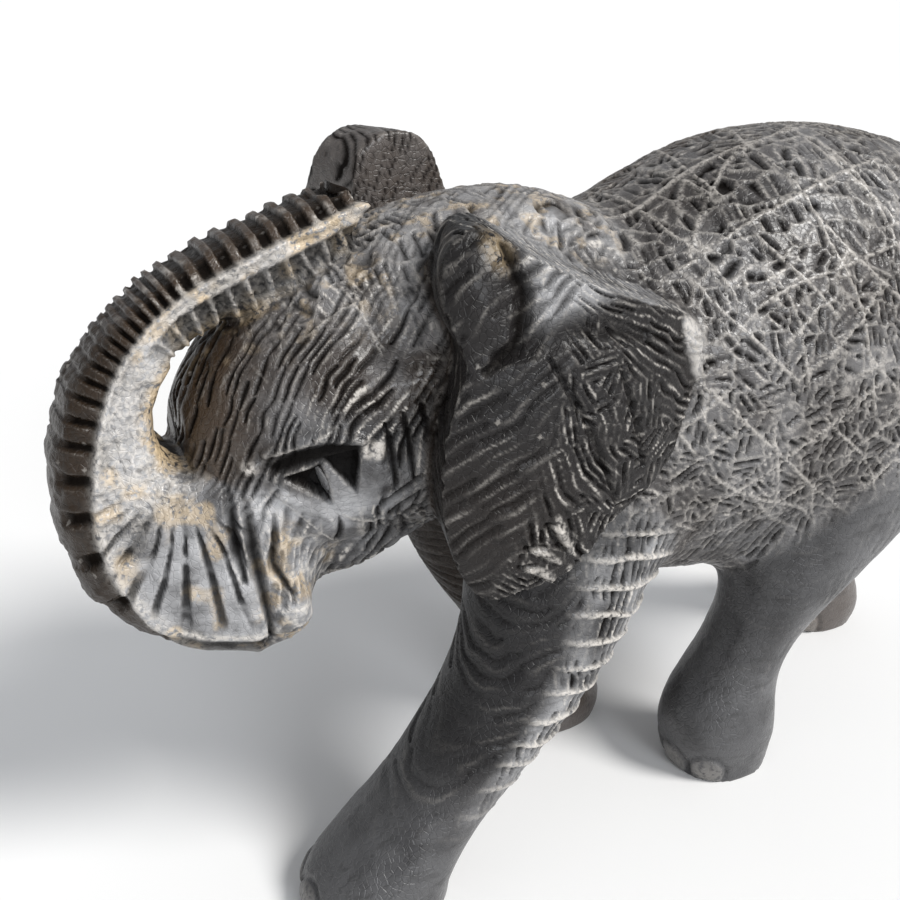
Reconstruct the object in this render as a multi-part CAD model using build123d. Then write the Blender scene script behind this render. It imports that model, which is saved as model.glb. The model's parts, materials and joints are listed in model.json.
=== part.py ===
"""Carved hardwood elephant with its trunk curled back over its forehead, in mid stride.

Frame: +X is the way the elephant faces, +Y is its left, +Z is up, and the soles stand on z = 0.
Everything is in millimetres. The figure is blocked out in the sections that a carver works in, each
of them a solid that meets its neighbours face to face. The stations below are measured from a point
under the middle of the barrel. At the end every node moves along X, so that the origin is under the
middle of the figure's length.
"""

import os
from math import cos, pi, sin

from build123d import *

# ---- driving dimensions -------------------------------------------------------------------------
BACK_HEIGHT = 194.5  # top of the back above the floor
BELLY_HEIGHT = 66.0  # lowest point of the belly
TORSO_HALF_WIDTH = 52.0
SKULL_HALF_WIDTH = 37.5
TRACK = 28.0  # each foot's centre from the middle plane
FOOT_RADIUS = 20.0
TRUNK_HALF_WIDTH = 13.0
TRUNK_FULLNESS = 0.13  # how far the trunk's section fills out its corners, 0 for an ellipse
LEG_FULLNESS = 0.03
EYE_RADIUS = 5.0
EYE_PLACE = (105.0, 25.5, 127.0)

# Torso stations from rump to neck: x, underside z, top z, half width.
TORSO_STATIONS = [
    (-134, 118, 142, 12),
    (-129, 99, 158, 25),
    (-118, 84, 172, 36),
    (-98, 72, 184, 46),
    (-72, 67.5, 192, 51),
    (-45, BELLY_HEIGHT, BACK_HEIGHT, TORSO_HALF_WIDTH),
    (-18, 67.5, 190.5, 51.5),
    (6, 71, 181, 49),
    (28, 77, 174, 45),
    (48, 87, 172, 38),
    (62, 103, 166, 28),
]

# Skull stations from nape to face: x, underside z, top z, half width.
SKULL_STATIONS = [
    (14, 118, 170, 24),
    (26, 108, 180, 33),
    (44, 103, 184.5, 37),
    (64, 101, 183, SKULL_HALF_WIDTH),
    (84, 101, 178, 35),
    (101, 100, 171, 31.5),
    (115, 100, 162, 26.5),
    (125, 104, 152, 20),
    (131, 113, 142, 12),
]

# Trunk stations from root to tip: x and z of the line that faces the forehead, x and z of the line
# that faces away from it, and the half width there. The tip rests on the crown of the skull.
TRUNK_STATIONS = [
    ((106, 127), (99, 104), 18),
    ((118, 130), (108, 79), 25),
    ((127, 129.5), (119, 74.5), 24),
    ((132.5, 129.5), (133, 77.5), 21),
    ((135.5, 131), (147, 84), 18),
    ((137.5, 133.5), (158.5, 97), 15.5),
    ((138.5, 137.5), (163, 115), 14),
    ((138.3, 143), (162.5, 133), TRUNK_HALF_WIDTH),
    ((136, 148.5), (157, 149.5), 12.5),
    ((131.5, 153.8), (148, 161), 12.5),
    ((125, 158), (136, 171.5), 12),
    ((116, 160.5), (122, 179), 12),
    ((107, 162), (108, 184), 11.5),
    ((97, 166), (96, 188), 11.5),
    ((88, 170), (86, 190.5), 10.5),
]

# Leg stations from the sole up: z, x, distance from the middle plane, half length, half width.
LEG_FRONT_LEFT = [
    (0, 95, TRACK, 19, 18),
    (9, 94, TRACK, FOOT_RADIUS, 19),
    (22, 84, TRACK, 18, 17.5),
    (40, 68, TRACK + 1, 18.5, 17),
    (60, 53, TRACK + 2, 21, 18),
    (82, 42, TRACK + 1, 25, 19),
    (104, 36, TRACK - 2, 27, 19),
    (124, 32, TRACK - 6, 20, 15),
]
LEG_FRONT_RIGHT = [
    (0, 11, TRACK, 19, 18),
    (9, 11, TRACK, FOOT_RADIUS, 19),
    (24, 14, TRACK, 16.5, 16.5),
    (42, 22, TRACK + 1, 16.5, 16.5),
    (62, 31, TRACK + 2, 20, 18),
    (82, 36, TRACK + 1, 24, 19),
    (104, 36, TRACK - 2, 27, 19),
    (124, 32, TRACK - 6, 20, 15),
]
LEG_REAR_LEFT = [
    (0, -27, TRACK - 7, 15, 14.5),
    (10, -26.5, TRACK - 7, 17.5, 16),
    (24, -26, TRACK - 6, 16.5, 15.5),
    (38, -30, TRACK - 5, 13.5, 13.5),
    (52, -36, TRACK - 3, 14, 14),
    (70, -45, TRACK, 20, 17),
    (90, -58, TRACK, 29, 20),
    (112, -70, TRACK - 3, 34, 20),
    (132, -76, TRACK - 8, 27, 15),
]
LEG_REAR_RIGHT = [
    (0, -116, TRACK + 6, 15.5, 15),
    (9, -116, TRACK + 6, 17.5, 16.5),
    (22, -113, TRACK + 5, 15.5, 15),
    (40, -104, TRACK + 4, 14, 14.5),
    (58, -94, TRACK + 3, 17.5, 16.5),
    (76, -85, TRACK + 2, 25, 19),
    (94, -79, TRACK, 31, 20),
    (112, -77, TRACK - 3, 34, 20),
    (132, -76, TRACK - 8, 27, 15),
]

# Ear outlines from the side, x and z: the knob at the top front, then back along the roll to the rear
# corner, down to the notch over the shoulder, round the lobe and up the front edge. The right ear is
# cocked higher at the front and falls away faster behind.
EAR_LOWER_OUTLINE = [
    (18, 140),
    (28, 122),
    (41, 114),
    (50, 103),
    (62, 98),
    (73, 96),
    (81, 106),
    (85, 122),
    (84, 142),
    (80, 158),
]
EAR_LEFT_OUTLINE = [(83, 176), (76, 184), (66, 180), (50, 172), (30, 164), (14, 153)] + EAR_LOWER_OUTLINE
EAR_RIGHT_OUTLINE = [(84, 182), (76, 196), (65, 195), (56, 178), (38, 162), (16, 150)] + EAR_LOWER_OUTLINE
EAR_DOME_CENTRE = (50.0, 0.0, 134.0)
EAR_DOME_RADII = (66.0, 57.0, 84.0)
EAR_INNER_Y = 22.0  # the ear starts this far from the middle plane, where the skull doesn't fill it
EAR_UNDERCUT = 0.3  # how far back the front edge leans for each millimetre inward
RIGHT_EAR_RISE = 12.0  # how much taller the right ear's dome is

# Lower jaw stations from throat to lip: x, z, half width, half height.
JAW_STATIONS = [
    (70, 108, 13, 8),
    (82, 104, 17, 11),
    (95, 101, 16, 12),
    (106, 99, 12, 10),
    (113, 97, 7, 6),
]

# Tail stations from root to tuft: centre and radius. It lies against the rump.
TAIL_STATIONS = [
    ((-129, 0, 154), 6.5),
    ((-136, 1.5, 141), 5.5),
    ((-137.5, 3, 123), 4.6),
    ((-133.5, 3.5, 105), 4.0),
    ((-127, 3.5, 91), 3.8),
    ((-121.5, 3, 80), 5.2),
    ((-119, 2, 69), 4.8),
    ((-118.5, 1, 60), 2.2),
]


# ---- shapes -------------------------------------------------------------------------------------
def ring(plane, half_x, half_y, fullness=0.0):
    """A closed oval section in four quarters, which meet on the plane's own X and Y."""
    quarters = []
    for quarter in range(4):
        start, end = quarter * pi / 2, (quarter + 1) * pi / 2
        points = []
        for angle in (start, (start + end) / 2, end):
            grow = 1 + fullness * sin(2 * angle) ** 2
            points.append((half_x * grow * cos(angle), half_y * grow * sin(angle)))
        tangents = [(-half_x * sin(angle), half_y * cos(angle)) for angle in (start, end)]
        quarters.append(Spline(*points, tangents=tangents))
    return plane * make_face(quarters)


def curling_body(rings):
    """A solid through sections that turn a long way round, joined span by span."""
    body = loft(rings[:2], ruled=True)
    for near, far in zip(rings[1:], rings[2:]):
        body += loft([near, far], ruled=True)
    return body


def across_x(x, z):
    """The upright plane across the figure at x, with its own X along the figure's Y."""
    return Plane(origin=(x, 0, z), x_dir=(0, 1, 0), z_dir=(1, 0, 0))


def upright_body(stations):
    """A solid along X through sections given by their underside, top and half width."""
    rings = []
    for x, low, high, half_width in stations:
        rings.append(ring(across_x(x, (low + high) / 2), half_width, (high - low) / 2))
    return loft(rings)


def trunk_body():
    """The trunk, through boxy sections that each span from its inner to its outer line."""
    rings = []
    for inner, outer, half_width in TRUNK_STATIONS:
        near, far = Vector(inner[0], 0, inner[1]), Vector(outer[0], 0, outer[1])
        across = far - near
        plane = Plane(origin=(near + far) / 2, x_dir=(0, 1, 0), z_dir=across.cross(Vector(0, 1, 0)))
        rings.append(ring(plane, half_width, across.length / 2, TRUNK_FULLNESS))
    return curling_body(rings)


def leg_body(stations, side):
    """A leg on one side, through level sections from the sole up."""
    rings = []
    for z, x, y, half_x, half_y in stations:
        rings.append(ring(Plane(origin=(x, side * y, z)), half_x, half_y, LEG_FULLNESS))
    return loft(rings)


def ear_body(outline, side, rise=0.0):
    """An ear on one side: a domed outer face inside the outline, undercut along its front edge."""
    far_y = EAR_DOME_RADII[1] + 10.0
    lean = EAR_UNDERCUT * (far_y - EAR_DOME_RADII[1] * 0.9)
    points = [(x + lean, side * far_y, z) for x, z in outline]
    inward = Vector(-EAR_UNDERCUT, -side, 0)
    depth = (far_y - EAR_INNER_Y) * inward.length
    block = extrude(make_face(Spline(*points, periodic=True)), amount=depth, dir=inward.normalized())
    radii = (EAR_DOME_RADII[0], EAR_DOME_RADII[1], EAR_DOME_RADII[2] + rise)
    return block & (Pos(*EAR_DOME_CENTRE) * scale(Sphere(1), by=radii))


def jaw_body():
    """The lower jaw, a small keel under the cheeks."""
    return loft([ring(across_x(x, z), width, height) for x, z, width, height in JAW_STATIONS])


def tail_body():
    """The tail, through round sections square to its run, with a swollen tuft near its end."""
    points = [Vector(*p) for p, _ in TAIL_STATIONS]
    last = len(points) - 1
    rings = []
    for i, (_, radius) in enumerate(TAIL_STATIONS):
        along = points[min(i + 1, last)] - points[max(i - 1, 0)]
        rings.append(ring(Plane(origin=points[i], x_dir=(0, 1, 0), z_dir=along), radius, radius))
    return curling_body(rings)


def eye_body(side):
    """An eyeball, let into the side of the skull."""
    x, y, z = EYE_PLACE
    return Pos(x, side * y, z) * Sphere(EYE_RADIUS)


# ---- the figure ---------------------------------------------------------------------------------
def build():
    """Every node, each cut back so that it meets its neighbours face to face."""
    eyes = {"eye_left": eye_body(1), "eye_right": eye_body(-1)}
    torso = upright_body(TORSO_STATIONS)
    skull = upright_body(SKULL_STATIONS)
    legs = {
        "leg_front_left": leg_body(LEG_FRONT_LEFT, 1) - torso - skull,
        "leg_front_right": leg_body(LEG_FRONT_RIGHT, -1) - torso - skull,
        "leg_rear_left": leg_body(LEG_REAR_LEFT, 1) - torso,
        "leg_rear_right": leg_body(LEG_REAR_RIGHT, -1) - torso,
    }
    whole_trunk = trunk_body()
    ear_left = ear_body(EAR_LEFT_OUTLINE, 1) - skull - torso - legs["leg_front_left"]
    ear_right = ear_body(EAR_RIGHT_OUTLINE, -1, RIGHT_EAR_RISE) - skull - torso - legs["leg_front_right"]
    nodes = {
        "torso": torso,
        "head": skull - torso - eyes["eye_left"] - eyes["eye_right"],
        "lower_jaw": jaw_body() - skull - whole_trunk - ear_left - ear_right,
        "trunk": whole_trunk - skull,
        "ear_left": ear_left,
        "ear_right": ear_right,
        "tail": tail_body() - torso,
    }
    nodes.update(legs)
    nodes.update(eyes)
    return centred(nodes)


def centred(nodes):
    """The nodes moved along X, so that the origin is under the middle of the figure's length."""
    boxes = [shape.bounding_box() for shape in nodes.values()]
    middle = (min(box.min.X for box in boxes) + max(box.max.X for box in boxes)) / 2
    return {name: Pos(-middle, 0, 0) * shape for name, shape in nodes.items()}


if __name__ == "__main__":
    os.makedirs("parts", exist_ok=True)
    for name, shape in build().items():
        print(name, "solids", len(shape.solids()), "volume", round(shape.volume))
        export_step(shape, f"parts/{name}.step")
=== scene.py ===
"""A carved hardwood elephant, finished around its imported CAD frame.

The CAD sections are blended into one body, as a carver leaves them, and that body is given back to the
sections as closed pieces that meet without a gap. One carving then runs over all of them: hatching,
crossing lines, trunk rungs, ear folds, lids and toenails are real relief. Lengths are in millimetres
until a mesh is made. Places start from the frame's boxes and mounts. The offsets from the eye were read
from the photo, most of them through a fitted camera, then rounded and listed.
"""

import itertools
import json
import math

import bpy
import numpy as np
import openvdb as vdb
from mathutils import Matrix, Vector


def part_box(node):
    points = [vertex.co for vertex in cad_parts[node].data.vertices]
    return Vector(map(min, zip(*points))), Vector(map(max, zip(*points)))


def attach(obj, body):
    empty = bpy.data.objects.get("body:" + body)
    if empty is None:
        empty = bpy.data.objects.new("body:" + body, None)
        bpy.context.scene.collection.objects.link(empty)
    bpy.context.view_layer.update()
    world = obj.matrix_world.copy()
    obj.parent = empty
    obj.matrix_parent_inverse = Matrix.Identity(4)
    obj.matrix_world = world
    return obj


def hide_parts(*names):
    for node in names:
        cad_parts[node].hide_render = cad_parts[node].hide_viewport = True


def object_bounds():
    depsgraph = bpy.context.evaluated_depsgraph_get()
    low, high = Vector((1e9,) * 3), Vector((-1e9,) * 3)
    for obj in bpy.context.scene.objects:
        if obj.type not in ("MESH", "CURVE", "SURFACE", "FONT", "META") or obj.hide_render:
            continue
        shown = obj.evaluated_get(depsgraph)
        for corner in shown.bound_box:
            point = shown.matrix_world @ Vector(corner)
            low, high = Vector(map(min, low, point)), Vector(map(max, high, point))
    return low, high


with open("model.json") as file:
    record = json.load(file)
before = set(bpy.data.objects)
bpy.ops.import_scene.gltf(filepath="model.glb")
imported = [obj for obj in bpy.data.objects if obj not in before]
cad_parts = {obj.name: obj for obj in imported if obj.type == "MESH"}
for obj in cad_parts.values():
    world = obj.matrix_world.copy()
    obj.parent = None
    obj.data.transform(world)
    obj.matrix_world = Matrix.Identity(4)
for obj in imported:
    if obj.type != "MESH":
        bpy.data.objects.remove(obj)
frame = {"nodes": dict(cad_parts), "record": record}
cad_bounds = [list(corner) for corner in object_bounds()]

# ---- sizes and places ---------------------------------------------------------------------------
MM = 0.001
BASE_STEP = 1.0  # grid on which the sections are blended
BAND = 14  # how far from a surface distances are kept, in base steps
OVERLAP = 1.3  # how far a piece reaches in under its neighbours' skin
SINK = 0.5  # how far its skin drops there
MELD = 2.5  # width over which one section's carving gives way to the next one's
GRID_MARGIN = 14  # room round the figure on the base grid
PIECE_MARGIN = 8  # room round one section on its own grid
FOLLOW_DEPTH = 6.0  # how deep under the skin a piece stops following the carving
LEG_FILLET, HEAD_FILLET, JAW_FILLET, EAR_FILLET, TAIL_FILLET, EYE_FILLET = 13, 8, 5, 3, 3, 6
CURL_FILLET, ROOT_FILLET = 1.0, 7.0  # the trunk's, in its free curl and at its root
EYE_INSET = 1.2  # how far the eyes are drawn in before they are blended
PIECE_STEP = {
    "torso": 0.72,
    "head": 0.55,
    "trunk": 0.5,
    "ear_left": 0.52,
    "ear_right": 0.75,
    "leg_front_left": 0.65,
    "leg_front_right": 0.8,
    "leg_rear_left": 0.8,
    "leg_rear_right": 0.9,
    "lower_jaw": 0.7,
    "tail": 0.6,
}
LEGS = [name for name in PIECE_STEP if name.startswith("leg")]
EARS = ["ear_left", "ear_right"]
EYES = ["eye_left", "eye_right"]
FAMILIES = {
    "torso": ["torso"],
    "head": ["head", "lower_jaw"],
    "trunk": ["trunk"],
    "ear": EARS,
    "leg": LEGS,
    "tail": ["tail"],
}
# The fifth channel is painted light: grey painted onto lit sides, tops and spots.
# The second channel is painted shade: near black painted into cuts, recesses and sides turned from the
# light.
# The third, pale, is partly wear and partly painted highlights.
CHANNELS = ("raised", "pit", "pale", "tan", "light", "warm")


def corner(node, which):
    """A node's lowest (0) or highest (1) corner in millimetres."""
    return np.array(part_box(node)[which]) / MM


def middle(node):
    return (corner(node, 0) + corner(node, 1)) / 2


EYE = middle("eye_left")
SOLES = [np.array(mount["pos_m"]) / MM for mount in frame["record"]["mounts"]]

# The trunk's middle line from root to tip. Each station: its place as a share of the trunk's box in x
# and z, half its depth, half its width, and how far out its worn border sits, as a share of the depth.
# All but the border repeat the trunk's stations in the CAD source, rounded, and change with them.
TRUNK_LINE = [
    (0.21, 0.35, 13, 18, 1.0),
    (0.35, 0.26, 26, 25, 1.0),
    (0.48, 0.24, 28, 24, 1.0),
    (0.61, 0.26, 26, 21, 0.80),
    (0.72, 0.29, 24, 18, 0.50),
    (0.81, 0.35, 21, 15.5, 0.30),
    (0.85, 0.45, 17, 14, 0.16),
    (0.84, 0.55, 13, 13, 0.08),
    (0.79, 0.645, 10.5, 12.5, 0.12),
    (0.70, 0.715, 9, 12.5, 0.28),
    (0.58, 0.78, 9, 12, 0.35),
    (0.43, 0.82, 10, 12, 0.35),
    (0.28, 0.85, 11, 11.5, 0.40),
    (0.13, 0.884, 11, 11.5, 0.42),
    (0.01, 0.912, 10.5, 10.5, 0.42),
]

# Places below are millimetres from the middle of the eye. A route or a triangle gives x and z. A rounded
# feature gives x, y and z, and then its radii.
FRONT_EYE_CUT = [(10.0, 1.2), (1.2, 5.2), (-2.4, -8.2)]
REAR_EYE_CUT = [(0.9, 6.2), (-7.8, 7.0), (-8.0, -6.0)]
BROW = [(12, 7.4), (6, 10.0), (-1, 11.0), (-8, 9.6)]
LEDGE = [(10.5, 3.6), (6, 6.0), (0, 7.6), (-6.5, 7.2)]
LOWER_LID = [(9.5, -3.2), (3.5, -7.0), (-2.0, -10.5)]
EYE_HOLLOW = (-3, 2, -1, (17, 15, 13))
FACET = (-12.5, 4, 0, (5.5, 12, 9))
FACET_GLINT = (-11, 7, 6.8, (4.5, 9, 3.0))
TEMPLE = (-17, 5, 31, (15, 18, 10))
CHEEK = (-7, -2, -16, (17, 15, 9))
LIT_CHEEK = (-8, 2, -8, (28, 24, 24))
ROOT_KNOB = (15.7, -2.3, 3.7)
SLOT_FOOT = (29.5, 3.0)  # where the trunk's root gouges fan out from
ROOT_GROOVES = (
    ([(20.7, 0), (20.9, -12), (19.0, -25)], 1.7),
    ([(18.0, 0), (16.4, -18), (12.4, -44)], 1.9),
    ([(11.5, -8), (12.0, -22), (8.0, -30)], 1.3),
)
ROOT_NUB = (7.5, -2, -36, (7, 16, 12))
EAR_FAN_CENTRE = (-24.0, 60.0)
EAR_CRESCENTS = (
    ([(-46, -11), (-48.5, -13.5), (-51.5, -19)], 1.6),
    ([(-41.5, -17), (-44.5, -18), (-49, -21.5)], 1.6),
    ([(-41, -22.5), (-45, -24), (-50, -29)], 1.8),
    ([(-40, -30.5), (-43, -31.5), (-47, -34)], 1.5),
)
EAR_SHADOWS = ([(-44, 30), (-53, 14), (-62, -6)], [(-62, 26), (-67, 12), (-70, 0)])
EAR_HOLLOW = [(-33, 31), (-50, 36), (-70, 31)]
EAR_KNOB = (-29.5, 17, 45, (9.5, 17, 15))
EAR_KNOB_STAIN = (-36, 18, 53, (5, 14, 7))
BEHIND_KNOB = [(-37, 54), (-40, 44), (-37, 33), (-30, 28)]
# the left ear's rear top corner, where light and a highlight are painted
LIT_RIM = [(-86, 31), (-92, 23), (-94, 14)]


# ---- distance fields ----------------------------------------------------------------------------
def cell_corners(part):
    """The eight corners of a cell, each with its weight at a fractional place in the cell."""
    for offset in itertools.product((0, 1), repeat=3):
        weight = np.ones(len(part))
        for axis, d in enumerate(offset):
            weight *= part[:, axis] if d else 1 - part[:, axis]
        yield offset, weight


def trilinear(values, where):
    """Values at fractional grid places."""
    limit = np.array(values.shape) - 2
    low = np.clip(np.floor(where).astype(np.int64), 0, limit)
    part = np.clip(where - low, 0, 1)
    total = np.zeros(len(where))
    for (dx, dy, dz), weight in cell_corners(part):
        total += weight * values[low[:, 0] + dx, low[:, 1] + dy, low[:, 2] + dz]
    return total


class Field:
    """A scalar field on a regular grid whose points lie at whole multiples of its step."""

    def __init__(self, values, first, step):
        self.values, self.first, self.step = values, np.asarray(first), step

    def at(self, points):
        return trilinear(self.values, points / self.step - self.first)

    def direction(self, points, reach=1.0):
        """The unit direction in which the field grows."""
        out = np.empty_like(points)
        for axis in range(3):
            shift = np.zeros(3)
            shift[axis] = reach
            out[:, axis] = self.at(points + shift) - self.at(points - shift)
        return out / np.maximum(np.linalg.norm(out, axis=1, keepdims=True), 1e-9)

    def finer(self, low, high, step):
        """The part of the field between two corners, on a grid of another step."""
        first = np.floor(np.asarray(low) / step).astype(int)
        last = np.ceil(np.asarray(high) / step).astype(int)
        values = self.values
        for axis in range(3):
            where = np.arange(first[axis], last[axis] + 1) * step / self.step - self.first[axis]
            index = np.clip(np.floor(where).astype(int), 0, self.values.shape[axis] - 2)
            part = np.clip(where - index, 0, 1).astype(np.float32)
            shape = [1, 1, 1]
            shape[axis] = len(part)
            part = part.reshape(shape)
            values = np.take(values, index, axis) * (1 - part) + np.take(values, index + 1, axis) * part
        return Field(values.astype(np.float32), first, step)


def node_distance(name, first, shape):
    """A CAD node's signed distance on the base grid."""
    mesh = frame["nodes"][name].data
    mesh.calc_loop_triangles()
    points = np.empty(len(mesh.vertices) * 3, np.float32)
    mesh.vertices.foreach_get("co", points)
    triangles = np.empty(len(mesh.loop_triangles) * 3, np.int32)
    mesh.loop_triangles.foreach_get("vertices", triangles)
    grid = vdb.FloatGrid.createLevelSetFromPolygons(
        points.reshape(-1, 3) / np.float32(MM),
        triangles=triangles.reshape(-1, 3).astype(np.uint32),
        transform=vdb.createLinearTransform(voxelSize=BASE_STEP),
        halfWidth=BAND,
    )
    values = np.empty(shape, np.float32)
    grid.copyToArray(values, ijk=tuple(int(i) for i in first))
    return values


def blend(a, b, reach):
    """The union of two fields, with a fillet of that reach where they meet."""
    h = np.maximum(reach - np.abs(a - b), 0) / reach
    return np.minimum(a, b) - h * h * reach * 0.25


def blended_body(distance, first):
    """All sections in one field: deep fillets at the legs and neck, crisp ones at the ears and curl."""
    levels = first[2] + np.arange(distance["torso"].shape[2])
    z = (levels * BASE_STEP).astype(np.float32)[None, None, :]
    body = distance["torso"]
    for leg in LEGS:
        body = blend(body, distance[leg], np.float32(LEG_FILLET))
    body = blend(body, distance["head"], np.float32(HEAD_FILLET))
    body = blend(body, distance["lower_jaw"], np.float32(JAW_FILLET))
    root = np.clip((EYE[2] + 3 - z) / 10, 0, 1)
    body = blend(body, distance["trunk"], CURL_FILLET + (ROOT_FILLET - CURL_FILLET) * root)
    for ear in EARS:
        body = blend(body, distance[ear], np.float32(EAR_FILLET))
    body = blend(body, distance["tail"], np.float32(TAIL_FILLET))
    for eye in EYES:
        body = blend(body, distance[eye] + np.float32(EYE_INSET), np.float32(EYE_FILLET))
    return body


# ---- patterns -----------------------------------------------------------------------------------
def chance(i, j, seed):
    """A repeatable number from 0 to 1 for each cell."""
    value = np.sin(i * 127.1 + j * 311.7 + seed * 74.7) * 43758.5453
    return value - np.floor(value)


def smooth_step(value, low, high):
    t = np.clip((value - low) / (high - low), 0, 1)
    return t * t * (3 - 2 * t)


def noise(points, size, seed):
    """Smooth noise from -1 to 1 whose bumps are about that size."""
    where = points / size
    cell = np.floor(where)
    part = where - cell
    part = part * part * (3 - 2 * part)
    total = np.zeros(len(points))
    for (dx, dy, dz), weight in cell_corners(part):
        total += weight * chance(cell[:, 0] + dx + 57 * (cell[:, 2] + dz), cell[:, 1] + dy, seed)
    return total * 2 - 1


def drifted(points, size, amount, seed):
    """The points pushed about by noise, so that a regular pattern on them wavers."""
    return points + amount * np.stack([noise(points, size, seed + k) for k in range(3)], 1)


def ragged(points, seed):
    """The points swayed in long waves and short ones, as a hand wavers."""
    return drifted(drifted(points, 15, 3.2, seed), 4.5, 0.8, seed + 5)


def cells(points, cell_size, seed):
    """Random cells: how far each point is from its cell's edge, and its cell's own chance."""
    where = points / np.asarray(cell_size, float)
    base = np.floor(where)
    first = np.full(len(points), 9.0)
    second = np.full(len(points), 9.0)
    own = np.zeros(len(points))
    for dx in (-1, 0, 1):
        for dy in (-1, 0, 1):
            for dz in (-1, 0, 1):
                i, j, k = base[:, 0] + dx, base[:, 1] + dy, base[:, 2] + dz
                key = i + 57 * k
                gap = (i + 0.15 + 0.7 * chance(key, j, seed) - where[:, 0]) ** 2
                gap += (j + 0.15 + 0.7 * chance(key, j, seed + 1) - where[:, 1]) ** 2
                gap += (k + 0.15 + 0.7 * chance(key, j, seed + 2) - where[:, 2]) ** 2
                gap = np.sqrt(gap)
                closer = gap < first
                second = np.where(closer, first, np.minimum(second, gap))
                own = np.where(closer, chance(key, j, seed + 3), own)
                first = np.where(closer, gap, first)
    return second - first, own


def net(points, cell_size, seed):
    """A net over the points: its ridges (1 on a ridge), its pits (1 in a deep pit), cell by cell."""
    edge, own = cells(points, cell_size, seed)
    return 1 - smooth_step(edge, 0.02, 0.20), smooth_step(edge, 0.08, 0.42) * (0.25 + 0.75 * own)


def strokes(across, along, pitch, length, seed):
    """Short V cuts in broken rows: how deep a point is in one, and how near to the crest between two."""
    row = across / pitch
    index = np.floor(row)
    run = along / length + chance(index, 1, seed)
    step = np.floor(run)
    own = chance(index, step, seed + 2)
    gap = np.abs(row - index - 0.5 + 0.3 * (chance(index, step, seed + 3) - 0.5))
    width = (0.24 + 0.20 * own) * np.sin(np.pi * (run - step)) ** 0.4
    cut = np.clip(1 - gap / np.maximum(width, 0.03), 0, 1) * smooth_step(own, 0.08, 0.65)
    bright = chance(index, step, seed + 4) ** 2
    return cut, smooth_step(gap, 0.34, 0.48) * np.sin(np.pi * (run - step)) * (0.12 + 0.88 * bright)


def hatched(points, size, pitch, length, seed):
    """Patches of V cuts, each at its own slant, between straight seams: cuts, crests and seams."""
    edge, own = cells(points, size, seed)
    cosine, sine = np.cos(np.pi * own), np.sin(np.pi * own)
    across = points[:, 0] * cosine + points[:, 1] * sine * 0.6 + points[:, 2] * sine
    along = points[:, 2] * cosine + points[:, 1] * cosine * 0.6 - points[:, 0] * sine
    cut, crest = strokes(across, along, pitch, length, seed + 5)
    seam = 1 - smooth_step(edge, 0.02, 0.11)
    return cut * (1 - seam), crest, seam


def turned(points, axis, angle):
    """The points turned about a coordinate axis through the origin."""
    u, v = [a for a in range(3) if a != axis]
    out = points.copy()
    out[:, u] = points[:, u] * math.cos(angle) + points[:, v] * math.sin(angle)
    out[:, v] = points[:, v] * math.cos(angle) - points[:, u] * math.sin(angle)
    return out


SLANTS = (
    (0.55, 0.35, 0.80),
    (-0.62, 0.25, 0.70),
    (0.95, 0.05, -0.25),
    (0.20, -0.75, 0.55),
    (-0.25, 0.80, 0.30),
)


def crossing_lines(points, normals, pitch, width, seed, share=0.5):
    """Thin lines that cross a skin at several slants and come and go, 1 on a line."""
    total = np.zeros(len(points))
    swayed = drifted(points, 22, 3.5, seed + 20)
    for k, slant in enumerate(SLANTS):
        slant = np.array(slant) / np.linalg.norm(slant)
        spacing = pitch * (0.85 + 0.17 * k)
        row = (swayed @ slant) / spacing
        offset = 0.3 + 0.4 * chance(np.floor(row), k, seed)
        near = np.abs(row - np.floor(row) - offset) * spacing
        there = smooth_step(noise(points + 31 * k, 15, seed + k), 0.35 - share, 0.55 - share)
        facing = smooth_step(0.85 - np.abs(normals @ slant), 0.0, 0.15)
        total = np.maximum(total, np.clip(1 - (near / width) ** 2, 0, 1) * there * facing)
    return total


def left_half(points):
    """The points folded onto the left side, where features of both sides are drawn."""
    return np.stack([points[:, 0], np.abs(points[:, 1]), points[:, 2]], 1)


def by_eye(points, dx, dy, dz, radii):
    """From 1 to 0 in an ellipsoid whose centre is given from the eye's, on both sides."""
    q = (((left_half(points) - EYE - (dx, dy, dz)) / np.asarray(radii, float)) ** 2).sum(1)
    return np.clip(1 - q, 0, 1) ** 2


def scored(points, route, width, taper=0.55):
    """From 1 on a line to 0 beside it. The route gives x and z from the eye, and the line tapers."""
    place = (points - EYE)[:, [0, 2]]
    route = np.asarray(route, float)
    best = np.zeros(len(points))
    count = len(route) - 1
    for k in range(count):
        run = route[k + 1] - route[k]
        t = np.clip(((place - route[k]) @ run) / (run @ run), 0, 1)
        gap = np.linalg.norm(place - route[k] - t[:, None] * run, axis=1)
        reach = width * (1 - taper + taper * np.sin(np.pi * np.clip((k + t) / count, 0.02, 0.98)))
        best = np.maximum(best, np.clip(1 - (gap / reach) ** 2, 0, 1))
    return best

def all_scored(points, lines, start=0.0):
    """The strongest of several scored lines, each given with its width."""
    best = start
    for route, width in lines:
        best = np.maximum(best, scored(points, route, width))
    return best


def route_from(x, z, *stops):
    """A route whose further stops are given from its start."""
    return [(x, z)] + [(x + dx, z + dz) for dx, dz in stops]


def triangle(points, corners):
    """From 0 on a triangle's edges to 1 inside it. Its corners give x and z from the eye."""
    place = (points - EYE)[:, [0, 2]]
    a, b, c = np.asarray(corners, float)
    area = (b[0] - a[0]) * (c[1] - a[1]) - (c[0] - a[0]) * (b[1] - a[1])
    inside = np.full(len(points), 9.0)
    for p, q in ((a, b), (b, c), (c, a)):
        share = ((q[0] - p[0]) * (place[:, 1] - p[1]) - (place[:, 0] - p[0]) * (q[1] - p[1])) / area
        inside = np.minimum(inside, share)
    return smooth_step(inside, 0.0, 0.13)


def layers(count, **given):
    """One row for each channel of the carving, zero unless given."""
    return np.stack([given.get(name, 0.0) * np.ones(count) for name in CHANNELS])


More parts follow.
